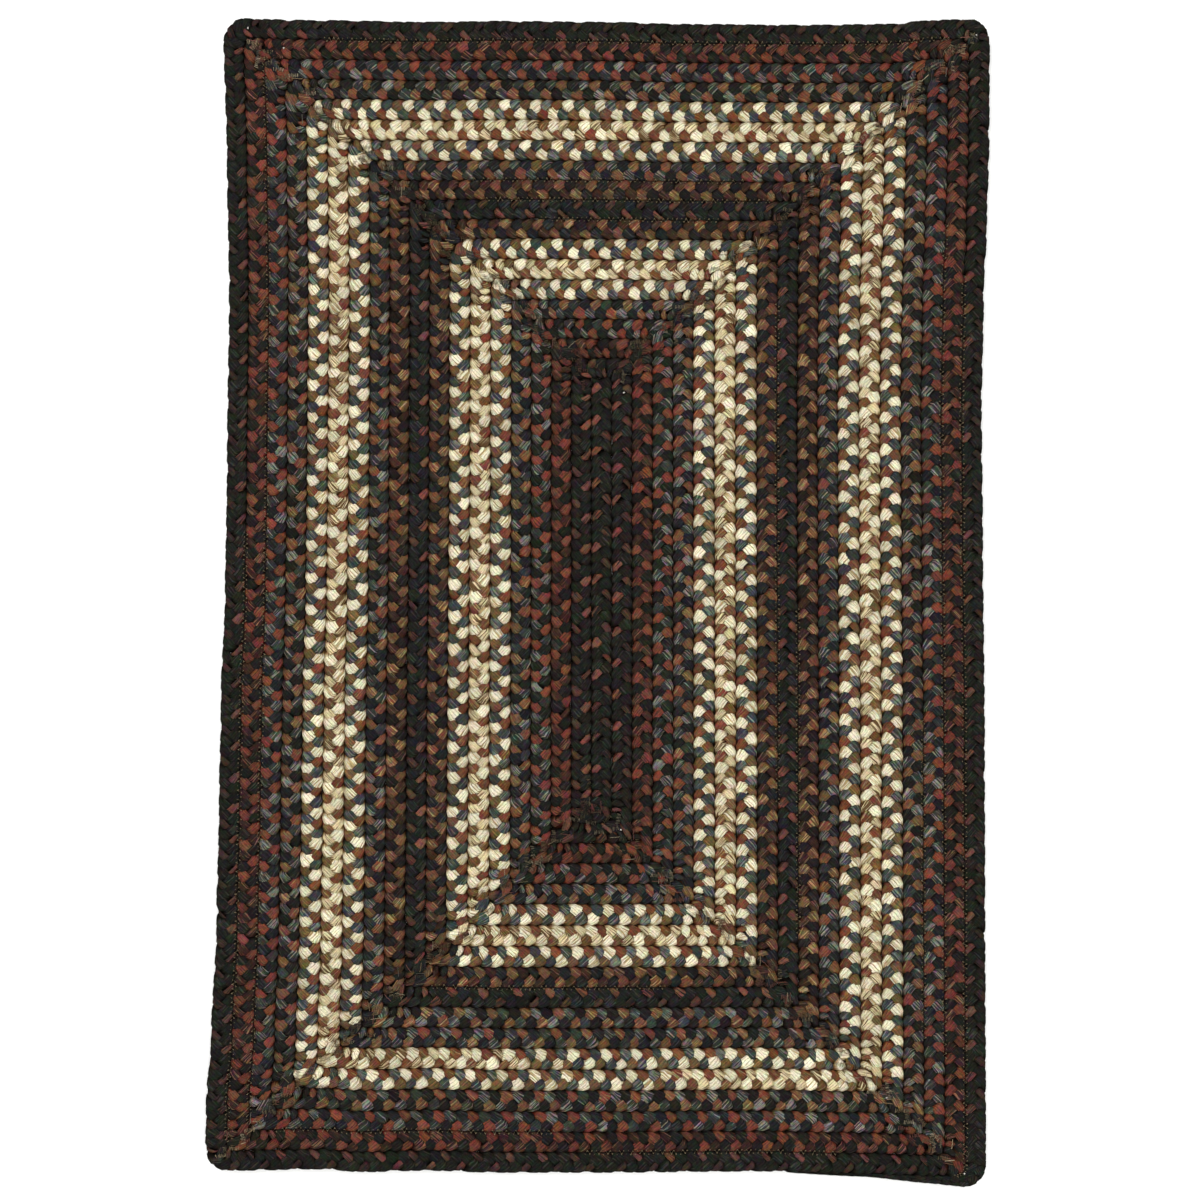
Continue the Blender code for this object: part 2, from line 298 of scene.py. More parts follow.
# The three strands of each stretch, listed with the run it starts in and how far
# along that run. New colours are spliced in near the bottom left corner of a turn.
recipes = (
    (0, 0.0, ("black", "ember", "greenBlack")),
    (2, 0.0, ("greenBlack", "ember", "plum")),
    (6, 0.0, ("rustDeep", "umber", "black")),
    (10, 0.0, ("rust", "slateLight", "greenBlack")),
    (14, 0.0, ("rustOlive", "navy", "slateLight")),
    (18, 0.0, ("cream", "brown", "slate")),
    (22, 0.0, ("cream", "brownCream", "creamThin")),
    (26, 0.0, ("cream", "brown", "slate")),
    (29, 0.93, ("tanOlive", "mauve", "navy")),
    (34, 0.0, ("greenBlack", "ember", "navy")),
    (38, 0.0, ("tanOlive", "mauve", "plum")),
    (41, 0.0, ("tanOlive", "slate", "plum")),
    (42, 0.0, ("rustOlive", "navy", "slateLight")),
    (46, 0.0, ("cream", "brown", "slate")),
    (49, 0.62, ("cream", "brownCream", "creamThin")),
    (53, 0.345, ("cream", "brown", "slate")),
    (56, 0.975, ("rustOlive", "slateLight", "black")),
    (61, 0.0, ("rust", "slateLight", "navy")),
    (65, 0.0, ("rustDeep", "rustStripe", "black")),
    (69, 0.0, ("black", "emberEdge", "greenBlack")),
    (72, 0.94, ("black", "black", "greenBlack")),
)

# The lengths of braid that are spliced together, each with its first recipe.
lengths = (("braid_centre", 0), ("braid_inner_cream", 5), ("braid_dark", 8),
           ("braid_outer_cream", 13), ("braid_rust", 16), ("braid_border", 18))

# The plait: three strands that follow one path, a third of a period apart.
plait = {
    "period": 21.1 * mm,  # length in which a strand comes back to its place
    "steps": 12,  # cross-sections to a period
    "sides": 8,
    "swing": 3.6 * mm,  # of a strand's middle to either side
    "lift": 2.1 * mm,  # of a strand's middle above and below the braid's
    "middleHalfWidth": 2.8 * mm,  # of a strand where it crosses the middle
    "edgeHalfWidth": 3.3 * mm,  # and at the seams
    "halfThickness": 2.3 * mm,
    "square": 0.56,  # roundness of a strand's section: 1 would be an ellipse, less is boxier
    "gather": 0.18,  # how far a period's cross-sections crowd to where the strand dives
    "dive": 1.1,  # how suddenly a strand dives
    "late": 0.14,  # how far past the middle or the seam it dives, as a phase
    "facePress": 1.4,  # how flat the rug's faces are pressed
    "faceReach": 0.97,  # share of the half height that the lobes reach
    "seamPress": 1.70,  # how hard the rows press on one another at the seams
    "seamLap": 1.035,  # the lobes' reach past the seam, so that no floor shows between rows
    "seamBevel": 0.085,  # how far their upper and lower edges stand back from that
    "surge": 0.56,  # how much faster a strand runs along the seams than across
    "lean": 1.3 * mm,  # how far a lobe is turned across the braid
    # unevenness of the lobes' width, as a share; their swing and thickness vary half as much
    "loose": 0.13,
    "jitter": 0.6 * mm,  # of the lobes along the braid; across it is a third of that
    "pull": 0.02,  # unevenness of the period along the braid
    "pullLength": 5,  # periods from one change of it to the next
    "twist": 0.12,  # how far the plies turn round a strand from one change to the next, in turns
    "twistLength": 96,  # cross-sections between two such changes
    "seed": 7,
}
dice = np.random.default_rng(plait["seed"])

# The plait's pace: a period is a little longer here and shorter there, and shorter at corners.
paceStep = 0.5 * mm
pullEvery = plait["pullLength"] * plait["period"]
places = np.arange(0, routeLength, paceStep)
pulls = dice.normal(0, plait["pull"], int(routeLength / pullEvery) + 3)
pace = 1 + np.interp(places / pullEvery, np.arange(len(pulls)), pulls)
cornerGap = np.abs(places[:, None] - (runStart[1:-1] - bend[:-1] / 2)).min(1)
pace *= 1 - spiral["crowd"] * np.clip(spiral["crowdReach"] - cornerGap / spiral["fan"], 0, 1)
periods = np.concatenate(([0], np.cumsum(paceStep / (pace[:-1] * plait["period"]))))
phaseAt = periods * 2 * math.pi
basePhase = np.arange(0, phaseAt[-1], 2 * math.pi / plait["steps"])
centreAlong = np.interp(basePhase, phaseAt, places)
centrePace = np.interp(centreAlong, places, pace)
recipeStart = np.array([runStart[run] + share * (runStart[run + 1] - runStart[run])
                        for run, share, three in recipes])
recipeAt = np.searchsorted(recipeStart, centreAlong, side="right") - 1
print(f"plait: {len(basePhase)} cross-sections of three strands")


# A normal random number for each lobe of the upper face, whose middles are at the phases pi / 4,
# 5 pi / 4 and so on, blended along the strand from one to the next.
def perLobe(phase, spread):
    lobe = phase / math.pi - 0.25
    values = dice.normal(0, spread, int(lobe.max()) + 3)
    return np.interp(lobe, np.arange(len(values)), values)


# Squeezes values so that they hardly pass a limit: limit * tanh(hard v / limit) / tanh(hard).
def pressed(value, limit, hard):
    return limit * np.tanh(hard * value / limit) / math.tanh(hard)


# A strand's surface. Its middle goes across as sin(phase) and up and down as the hyperbolic
# tangent of sin(2 phase), so it passes over going out and under going back and dives at the
# seams and the middle; its section is a rounded box square to its way, pressed flat at the rug's
# faces. Cross-sections crowd to the dives. Gives the phases, the heights before the tail thins
# and the points.
def strandSurface(number, rows):
    evenPhase = basePhase[rows] + number * 2 * math.pi / 3
    overPhase = evenPhase - plait["gather"] * np.sin(4 * evenPhase)
    phase = overPhase + plait["late"]
    wide = plait["swing"] * (1 + perLobe(phase, plait["loose"] / 2))
    across = wide * np.sin(phase) + perLobe(phase, plait["jitter"] / 3)
    up = plait["lift"] * np.tanh(plait["dive"] * np.sin(2 * overPhase)) / math.tanh(plait["dive"])
    perTurn = plait["period"] / (2 * math.pi)
    ahead = perTurn * (phase - evenPhase - plait["surge"] / 2 * np.sin(2 * phase))
    ahead += perLobe(phase, plait["jitter"])
    way = np.stack((wide * np.cos(phase), perTurn * (1 - plait["surge"] * np.cos(2 * phase)),
                    2 * plait["lift"] * np.cos(2 * overPhase)), 1)
    way /= np.linalg.norm(way, axis=1)[:, None]
    flat = np.stack((way[:, 1], -way[:, 0], 0 * way[:, 0]), 1)
    flat /= np.linalg.norm(flat, axis=1)[:, None]
    upright = np.cross(flat, way)
    atEdge = np.sin(phase) ** 2
    thick = np.array([yarns[three[number]]["thick"] for run, share, three in recipes])
    plump = thick[recipeAt[rows]] + perLobe(phase, plait["loose"])
    halfWidth = plump * (plait["middleHalfWidth"] * (1 - atEdge) + plait["edgeHalfWidth"] * atEdge)
    halfThick = plait["halfThickness"] * (1 + perLobe(phase, plait["loose"] / 2))
    angle = np.arange(plait["sides"]) * 2 * math.pi / plait["sides"]
    sideways = np.sign(np.cos(angle)) * abs(np.cos(angle)) ** plait["square"]
    upward = np.sign(np.sin(angle)) * abs(np.sin(angle)) ** plait["square"]
    ring = flat[:, None] * (halfWidth[:, None] * sideways)[..., None]
    ring += upright[:, None] * (halfThick[:, None] * upward)[..., None]
    local = np.stack((across, ahead, up), 1)[:, None] + ring  # ways across, ahead and up
    halfHeight = rugHeight / 2
    halfBraid = spiral["centreWidth"] / 2
    lean = plait["lean"] * (2 * np.abs(local[..., 0]) / halfBraid - 1)
    local[..., 1] -= lean * local[..., 2] / halfHeight
    height = plait["faceReach"] * pressed(local[..., 2], halfHeight, plait["facePress"])
    height += halfHeight
    along = np.clip(centreAlong[rows] + ahead * centrePace[rows], 0, routeEnd)
    forward = (local[..., 1] - ahead[:, None]) * centrePace[rows][:, None]
    middleShare = 0.5 + pressed(across, halfBraid, plait["seamPress"]) / (2 * halfBraid)
    towardFace = np.clip(np.abs(local[..., 2]) / halfHeight, 0, 1)
    lap = plait["seamLap"] - plait["seamBevel"] * towardFace ** 2
    share = 0.5 + lap * pressed(local[..., 0], halfBraid, plait["seamPress"]) / (2 * halfBraid)
    overlap = (plait["seamLap"] - 1) * halfBraid
    onFloor = settled(offStrand(along, middleShare, share, forward, overlap))
    low = tailHeight(along[:, None] + forward).reshape(-1, 1)
    return phase, height, np.concatenate((onFloor, height.reshape(-1, 1) * low), 1)


# The tail thins out, so its strands lie lower too: the height is scaled by this share.
def tailHeight(along):
    lastCorner = runStart[-2] - bend[-2] / 2
    slope = (lastCorner - spiral["tailSlope"], lastCorner, routeLength)
    return np.interp(along, slope, spiral["tailHeight"])


# The quads between the rings of a tube, one ring after another; its two ends stay open.
def tubeFaces(rings, sides):
    ring = np.arange(rings - 1)[:, None] * sides
    side = np.arange(sides)[None, :]
    after = (side + 1) % sides
    quads = (ring + side, ring + after, ring + sides + after, ring + sides + side)
    return np.stack(quads, -1).reshape(-1, 4)


# Adds a shader node: settings go to its properties or unlinked inputs, links to its inputs.
def addNode(tree, kind, settings, links=None):
    node = tree.nodes.new("ShaderNode" + kind)
    for name, value in settings.items():
        if isinstance(name, str) and hasattr(node, name):
            setattr(node, name, value)
        else:
            node.inputs[name].default_value = value
    for name, source in (links or {}).items():
        tree.links.new(source, node.inputs[name])
    return node.outputs


# A new material, with its node tree and its shader.
def newMaterial(name):
    material = bpy.data.materials.new(name)
    material.use_nodes = True
    return material, material.node_tree, material.node_tree.nodes["Principled BSDF"]


noiseLow, noiseHigh = 0.3, 0.7  # nearly all of a noise texture's values lie between these


# Wool-blend yarn, spun, dyed and bundled into strands. Matt; its plies show as fine lines that
# run along the strand, u being the way along it in metres and v the way round it, with painted
# shade in the grooves between them, and odd plies of the fleck colour come and go. Short fibres blur
# both.
def woolMaterial():
    look = {
        "plies": 15,  # round a strand, about 1.3 mm each, a little coarser than real so that they show
        "grooveShadeTone": 0.50,  # painted shade: the brightness between two plies
        "grooveWidth": 0.48,  # 2 would be a whole ply
        "wander": 5.0,  # how far a ply's line wanders, 2 pi being a whole ply
        "wanderSize": 3.846 * mm,  # of a cell of its noise; so are the other two sizes
        "streaks": 6.0,  # radius of the noise that the flecks follow round a strand, in its cells
        "streakLength": 5.5 * mm,
        # of that noise, below which the fleck shows, for a fleck share of 0 and of 1
        "fleckLevels": (0.32, 0.68),
        "fleckEdge": 0.03,  # half the softness of a fleck's edge, in the same measure
        "fibreSize": 0.909 * mm,  # coarser than real fibres so that they show
        "fibreTones": (0.80, 1.16),  # of the darkest and the lightest fibres
        "heather": (0.42, 0.105),  # how far the hue wanders in a dark dye and in a pale one
        "heatherSize": 2.941 * mm,
        "pale": 0.25,  # brightness from which a dye is pale, as a linear value
        "vivid": 4.0,  # how much the heather's noise is stretched
        "relief": 0.3 * mm,
        "reliefStrength": 0.6,
        "fibreRelief": 1.2,  # beside that of the plies
        "roughness": 0.95,
        "gloss": 0.08,
    }
    material, tree, shader = newMaterial("wool_blend_yarn_plaited")
    strand = addNode(tree, "UVMap", {"uv_map": "strand"})
    way = addNode(tree, "SeparateXYZ", {}, {0: strand[0]})
    # this point colour carries the dye and the painted shade deep between the lobes
    dyeAndShade = addNode(tree, "Attribute", {"attribute_name": "dyeAndShade"})
    fleck = addNode(tree, "Attribute", {"attribute_name": "fleck"})
    spot = {"Vector": addNode(tree, "TexCoord", {})["Object"]}
    wander = addNode(tree, "TexNoise", {"Scale": 1 / look["wanderSize"]}, spot)
    fibre = addNode(tree, "TexNoise", {"Scale": 1 / look["fibreSize"], "Detail": 1.0}, spot)
    wayRound = addNode(tree, "Math", {"operation": "MULTIPLY", 1: 2 * math.pi}, {0: way[1]})
    angle = addNode(tree, "Math", {"operation": "MULTIPLY", 1: look["plies"]}, {0: wayRound[0]})
    ply = addNode(tree, "Math", {"operation": "MULTIPLY_ADD", 1: look["wander"]},
                  {0: wander[0], 2: angle[0]})
    wave = addNode(tree, "Math", {"operation": "SINE"}, {0: ply[0]})
    # noise on a cylinder, stretched along the strand: where it is low, the ply is a fleck
    cosine = addNode(tree, "Math", {"operation": "COSINE"}, {0: wayRound[0]})
    sine = addNode(tree, "Math", {"operation": "SINE"}, {0: wayRound[0]})
    stretch = 1 / (look["streaks"] * look["streakLength"])
    along = addNode(tree, "Math", {"operation": "MULTIPLY", 1: stretch}, {0: way[0]})
    cylinder = addNode(tree, "CombineXYZ", {}, {0: cosine[0], 1: sine[0], 2: along[0]})
    streak = addNode(tree, "TexNoise", {"Scale": look["streaks"], "Detail": 1.0},
                     {"Vector": cylinder[0]})
    fleckNone, fleckAll = look["fleckLevels"]
    level = addNode(tree, "Math", {"operation": "MULTIPLY_ADD", 1: fleckAll - fleckNone, 2: fleckNone},
                    {0: fleck["Alpha"]})
    under = addNode(tree, "Math", {"operation": "SUBTRACT"}, {0: level[0], 1: streak[0]})
    mask = addNode(tree, "MapRange", {1: -look["fleckEdge"], 2: look["fleckEdge"]}, {0: under[0]})
    mixed = addNode(tree, "Mix", {"data_type": "RGBA"},
                    {0: mask[0], 6: dyeAndShade["Color"], 7: fleck["Color"]})
    # painted shade: the colour is darker in the groove between two plies
    grooveTo = look["grooveWidth"] - 1
    groove = addNode(tree, "MapRange", {1: -1.0, 2: grooveTo, 3: look["grooveShadeTone"], 4: 1.0},
                     {0: wave[0]})
    darkest, lightest = look["fibreTones"]
    speckle = addNode(tree, "MapRange", {1: noiseLow, 2: noiseHigh, 3: darkest, 4: lightest},
                      {0: fibre[0]})
    shade = addNode(tree, "Math", {"operation": "MULTIPLY"}, {0: groove[0], 1: speckle[0]})
    # the heather: the three channels of a soft noise, brought round 1 and blended with white
    hues = addNode(tree, "TexNoise", {"Scale": 1 / look["heatherSize"], "Detail": 1.0}, spot)
    gain, offset = (look["vivid"],) * 3, (1 - look["vivid"] / 2,) * 3
    vivid = addNode(tree, "VectorMath", {"operation": "MULTIPLY_ADD", 1: gain, 2: offset}, {0: hues[1]})
    inDark, inPale = look["heather"]
    strength = addNode(tree, "MapRange", {1: 0.0, 2: look["pale"], 3: inDark, 4: inPale},
                       {0: dyeAndShade["Color"]})
    tint = addNode(tree, "Mix", {"data_type": "RGBA", 6: (1, 1, 1, 1)}, {0: strength[0], 7: vivid[0]})
    heathered = addNode(tree, "VectorMath", {"operation": "MULTIPLY"}, {0: mixed[2], 1: tint[2]})
    colour = addNode(tree, "VectorMath", {"operation": "SCALE"}, {0: heathered[0], "Scale": shade[0]})
    tree.links.new(colour[0], shader.inputs["Base Color"])
    height = addNode(tree, "Math", {"operation": "MULTIPLY_ADD", 1: look["fibreRelief"]},
                     {0: fibre[0], 2: wave[0]})
    bump = addNode(tree, "Bump", {"Strength": look["reliefStrength"], "Distance": look["relief"]},
                   {"Height": height[0]})
    tree.links.new(bump[0], shader.inputs["Normal"])
    shader.inputs["Roughness"].default_value = look["roughness"]
    shader.inputs["Specular IOR Level"].default_value = look["gloss"]
    return material


# Spun cotton-blend sewing thread: matt, with a fine twist in it; its colour, with the painted shade
# where the sewing lies in the groove, is kept in the mesh.
def threadMaterial():
    look = {
        "twistSize": 2 / 3 * mm,
        "twistTones": (0.8, 1.15),
        "roughness": 0.85,
        "gloss": 0.15,
    }
    material, tree, shader = newMaterial("spun_sewing_thread")
    dyeAndShade = addNode(tree, "Attribute", {"attribute_name": "dyeAndShade"})
    spot = {"Vector": addNode(tree, "TexCoord", {})["Object"]}
    twist = addNode(tree, "TexNoise", {"Scale": 1 / look["twistSize"]}, spot)
    darkest, lightest = look["twistTones"]
    tone = addNode(tree, "MapRange", {1: noiseLow, 2: noiseHigh, 3: darkest, 4: lightest},
                   {0: twist[0]})
    colour = addNode(tree, "VectorMath", {"operation": "SCALE"}, {0: dyeAndShade["Color"], "Scale": tone[0]})
    tree.links.new(colour[0], shader.inputs["Base Color"])
    shader.inputs["Roughness"].default_value = look["roughness"]
    shader.inputs["Specular IOR Level"].default_value = look["gloss"]
    return material


# Puts arrays of points and faces, all quads or all triangles, into a mesh with a UV map and
# point colours. The piece moves with the rug's body and has its material slot.
def newPiece(name, points, faces, material, uv=None, colours=None):
    mesh = bpy.data.meshes.new(name)
    corners = faces.shape[1]
    mesh.vertices.add(len(points))
    mesh.vertices.foreach_set("co", points.astype(np.float32).ravel())
    mesh.loops.add(faces.size)
    mesh.loops.foreach_set("vertex_index", faces.astype(np.int32).ravel())
    mesh.polygons.add(len(faces))
    mesh.polygons.foreach_set("loop_start", np.arange(len(faces), dtype=np.int32) * corners)
    mesh.polygons.foreach_set("loop_total", np.full(len(faces), corners, np.int32))
    mesh.update(calc_edges=True)
    mesh.validate()
    mesh.shade_smooth()
    if uv is not None:
        mesh.uv_layers.new(name="strand").data.foreach_set("uv", uv.astype(np.float32).ravel())
    for attribute, values in (colours or {}).items():
        layer = mesh.color_attributes.new(attribute, "FLOAT_COLOR", "POINT")
        layer.data.foreach_set("color", values.astype(np.float32).ravel())
    mesh.materials.append(material)
    piece = bpy.data.objects.new(name, mesh)
    bpy.context.scene.collection.objects.link(piece)
    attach(piece, "root")
    return piece


# How the dye took from lobe to lobe, and the painted shade from the rug's faces to deep between the
# lobes.
dyeing = {
    "roll": 0.7,  # how far a strand rolls over, as a phase
    "rollMost": 1.6,
    "rollLobes": 6,  # lobes from one change of it to the next
    "rollStart": 0.15,  # the phase that it goes from
    "toneSpread": 0.11,  # how much one lobe's shade differs from the next
    "warmSpread": 0.07,  # and how warm it is
    "warmth": (0.8, -0.4, -1.0),  # what warm yarn gains in red, green and blue
    "mossSpread": 0.10,  # and how green or crimson it is
    "mossMost": 0.2,
    "moss": (-0.1, 0.9, -0.9),  # what green yarn gains in red, green and blue
    "paleHold": 30,  # how much less of both a pale dye shows
    "fleckSpread": 0.6,  # how much one lobe's share of flecks differs from the next
    "fleckMost": 0.75,
    "paintedShadeTone": 0.09,  # painted shade: the brightness deep between the lobes
    "deepUpTo": 0.38,  # share of the half height up to which the painted shade is as dark as that
    "clearFrom": 0.92,  # and from which the yarn has no painted shade
    "paintedShadeHue": (0.68, 1.0, 1.42),  # powers of the painted shade in red, green and blue, so that it is painted warmer
}


# The dye and fleck colour of each point, with painted shade, as (points, 4) each. The strand slowly
# rolls over, so the dye that shows on outer lobes drifts; yarn deep between the lobes is painted darker
# and warmer as shade.
def strandColours(number, rows, phase, height):
    kinds = [yarns[three[number]] for run, share, three in recipes]
    pairs = np.array([[linearColour(text) for text in kind["dyes"]] for kind in kinds])
    flecks = np.array([linearColour(kind["fleck"]) for kind in kinds])[recipeAt[rows]]
    shares = np.array([kind["share"] for kind in kinds])[recipeAt[rows]]
    roll = perLobe(phase / dyeing["rollLobes"], dyeing["roll"])
    roll = np.clip(roll, -dyeing["rollMost"], dyeing["rollMost"])
    outer = (np.sin(phase + dyeing["rollStart"] + roll) > 0)[:, None]
    tone = np.exp(perLobe(phase, dyeing["toneSpread"]))[:, None]
    warm = perLobe(phase, dyeing["warmSpread"])[:, None] * np.array(dyeing["warmth"])
    moss = np.clip(perLobe(phase, dyeing["mossSpread"]), -dyeing["mossMost"], dyeing["mossMost"])
    moss = moss[:, None] * np.array(dyeing["moss"])
    dyeAndShade = np.where(outer, pairs[recipeAt[rows], 0], pairs[recipeAt[rows], 1])
    dyeAndShade = dyeAndShade * tone * (1 + (warm + moss) / (1 + dyeing["paleHold"] * dyeAndShade.mean(1)[:, None] ** 2))
    share = np.clip(shares * (1 + perLobe(phase, dyeing["fleckSpread"])), 0, dyeing["fleckMost"])
    # painted shade: the nearer a point lies to the rug's middle plane, the darker and warmer its colour
    deep = np.abs(2 * height / rugHeight - 1) - dyeing["deepUpTo"]
    deep = np.clip(deep / (dyeing["clearFrom"] - dyeing["deepUpTo"]), 0, 1)
    light = dyeing["paintedShadeTone"] + (1 - dyeing["paintedShadeTone"]) * (deep * deep * (3 - 2 * deep))
    shade = light[..., None] ** np.array(dyeing["paintedShadeHue"])
    alpha = np.ones(height.shape + (1,))
    # the dye and the fleck colour both carry the painted shade
    dyeAndShade = np.concatenate((dyeAndShade[:, None] * shade, alpha), 2)
    fleck = np.concatenate(((flecks * tone)[:, None] * shade, alpha * share[:, None, None]), 2)
    return dyeAndShade.reshape(-1, 4), fleck.reshape(-1, 4)


# Each length of braid is one mesh of three strands. A strand is a tube, closed at either end by
# a fan of quads. Its u is the way along the braid in metres and its v the way round the strand,
# in turns, with the twist added.
def makeBraids(material):
    sides = plait["sides"]
    fan = np.array([(0, side + 2, side + 1, side) for side in range(1, sides - 1, 2)])
    firstRows = [np.searchsorted(centreAlong, recipeStart[recipe]) for name, recipe in lengths]
    lastRows = firstRows[1:] + [len(centreAlong) - 1]
    for (name, recipe), firstRow, lastRow in zip(lengths, firstRows, lastRows):
        rows = np.arange(firstRow, lastRow + 1)
        points, faces, uvs, dyes, flecks = [], [], [], [], []
        for number in range(3):
            phase, height, spots = strandSurface(number, rows)
            quads = tubeFaces(len(rows), sides)
            ringAt, sideAt = np.divmod(quads, sides)
            sideAt[:, 1:3] = np.where(sideAt[:, 1:3] == 0, sides, sideAt[:, 1:3])
            twistPhase = basePhase[rows][::plait["twistLength"]]
            twists = dice.normal(0, plait["twist"], len(twistPhase)).cumsum()
            twist = np.interp(basePhase[rows], twistPhase, twists)
            uv = np.stack((centreAlong[rows][ringAt], sideAt / sides + twist[ringAt]), -1)
            # the point colours carry the dye and the painted shade
            dyeAndShade, fleck = strandColours(number, rows, phase, height)
            base = number * len(rows) * sides
            ends = (fan + base, fan[:, ::-1] + base + (len(rows) - 1) * sides)
            points.append(spots)
            faces += [quads + base, *ends]
            uvs += [uv.reshape(-1, 2), np.zeros((2 * fan.size, 2))]
            dyes.append(dyeAndShade)
            flecks.append(fleck)
        colours = {"dyeAndShade": np.concatenate(dyes), "fleck": np.concatenate(flecks)}
        faces = np.concatenate(faces)
        piece = newPiece(name, np.concatenate(points), faces, material, np.concatenate(uvs), colours)
        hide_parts(rugNode)
        print(f"{name}: {2 * len(faces)} triangles")


threadSides = 3


# Thin round threads: points is (threads, points to a thread, 3). Each gets a ring of three
# sides at every point, square to the way to the next, and a three-sided cap at either end. The
# upright that the sides are taken from leans a little, so that no thread runs along it.
def threadTubes(points, radius):
    threads, count = points.shape[:2]
    way = np.gradient(points, axis=1)
    way /= np.linalg.norm(way, axis=2)[..., None] + hair
    lean = 0.01
    side = np.cross(way, np.array((0.0, 0.0, 1.0)) + lean * way[..., ::-1])
    side /= np.linalg.norm(side, axis=2)[..., None]
    above = np.cross(side, way)
    angle = np.arange(threadSides) * 2 * math.pi / threadSides + math.pi / 2
    ring = side[..., None, :] * np.cos(angle)[:, None] + above[..., None, :] * np.sin(angle)[:, None]
    spots = (points[..., None, :] + radius * ring).reshape(-1, 3)
    quads = tubeFaces(count, threadSides)[:, ::-1]
    base = np.arange(threads)[:, None, None] * count * threadSides
    faces = (quads[None] + base).reshape(-1, 4)
    starts = (base + np.array(((0, 1, 2),))).reshape(-1, 3)
    ends = (base + (count - 1) * threadSides + np.array(((0, 2, 1),))).reshape(-1, 3)
    triangles = np.concatenate((faces[:, [0, 1, 2]], faces[:, [0, 2, 3]], starts, ends))
    return spots, triangles


# A shade for each thread's point, spread to its ring, as (points, 4).
def ringColours(shades):
    rings = np.repeat(shades, threadSides, 0)
    return np.concatenate((rings, np.ones((len(rings), 1))), 1)


# The sewing: a machine zigzag over every seam, from the first bend to the tail. Thread lies in
# the groove, painted darker there as shade, and only on these sides does it stand up where it shows:
# run, from and to along it.
sewing = {
    "stitch": 3.0 * mm,  # one zig and one zag
    "reach": 1.3 * mm,  # to either side of the seam
    "reachMost": 0.2,  # as a share of a row's width
    "reachSpread": 0.12,  # unevenness of the reach, as a share
    "heightSpread": 0.12 * mm,
    "toneSpread": 0.12,
    "radius": 0.25 * mm,
    "deep": 5.6 * mm,  # height of the thread in the groove
    "paintedShadeTone": 0.22,  # painted shade: its brightness in the groove
    "shown": 8.6 * mm,  # height where it shows
    "dip": 2.4 * mm,  # how much lower it crosses the groove there, so that only its bends show
    "dipShadeTone": 0.3,  # painted shade: its brightness there
    "colour": "#8C7D62",
    "shownRuns": ((35, 0.3, 0.8), (36, 0.1, 0.75), (37, 0.3, 0.9), (39, 0.2, 0.9), (40, 0.5, 0.9),
                  (43, 0.2, 0.8), (64, 0.6, 0.9), (65, 0.55, 0.95), (66, 0.0, 1.0), (68, 0.15, 0.9),
                  (69, 0.15, 0.5), (70, 0.0, 0.55), (71, 0.1, 0.95), (72, 0.2, 1.0)),
}


# One long thread with a bend at every half stitch, by turns to either side of the inner seam.
def makeSewing(material):
    along = np.arange(runStart[1], runStart[-2], sewing["stitch"] / 2)
    run = np.searchsorted(runStart, along, side="right") - 1
    part = (along - runStart[run]) / (runStart[run + 1] - runStart[run])
    shown = np.zeros(len(along))
    for number, first, last in sewing["shownRuns"]:
        shown = np.where((run == number) & (part > first) & (part < last), 1.0, shown)
    wobble = dice.normal(0, 1, len(along))
    zigzag = np.where(np.arange(len(along)) % 2 == 0, 1, -1)
    reach = sewing["reach"] * (1 + sewing["reachSpread"] * wobble) / spiral["centreWidth"]
    share = np.clip(zigzag * reach, -sewing["reachMost"], sewing["reachMost"])
    height = sewing["deep"] + (sewing["shown"] - sewing["deep"]) * shown
    height += sewing["heightSpread"] * wobble
    # painted shade: the thread is darker where it lies in the groove
    tone = sewing["paintedShadeTone"] + (1 - sewing["paintedShadeTone"]) * shown
    tone *= np.exp(sewing["toneSpread"] * wobble)
    # where it shows, one more point between two bends is pulled down into the groove and painted darker
    # as shade
    crossing = (along[:-1] + along[1:])[shown[:-1] > 0] / 2
    order = np.argsort(np.concatenate((along, crossing)))
    share = np.concatenate((share, 0 * crossing))[order]
    height = np.concatenate((height, 0 * crossing + sewing["shown"] - sewing["dip"]))[order]
    tone = np.concatenate((tone, 0 * crossing + sewing["dipShadeTone"]))[order]
    along = np.concatenate((along, crossing))[order]
    middles = np.concatenate((settled(onSpiral(along, share)), height[:, None]), 1)
    points, faces = threadTubes(middles[None], sewing["radius"])
    colour = ringColours(linearColour(sewing["colour"]) * tone[:, None])
    piece = newPiece("sewing_thread", points, faces, material, None, {"dyeAndShade": colour})
    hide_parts(rugNode)
    print(f"sewing_thread: {len(faces)} triangles")


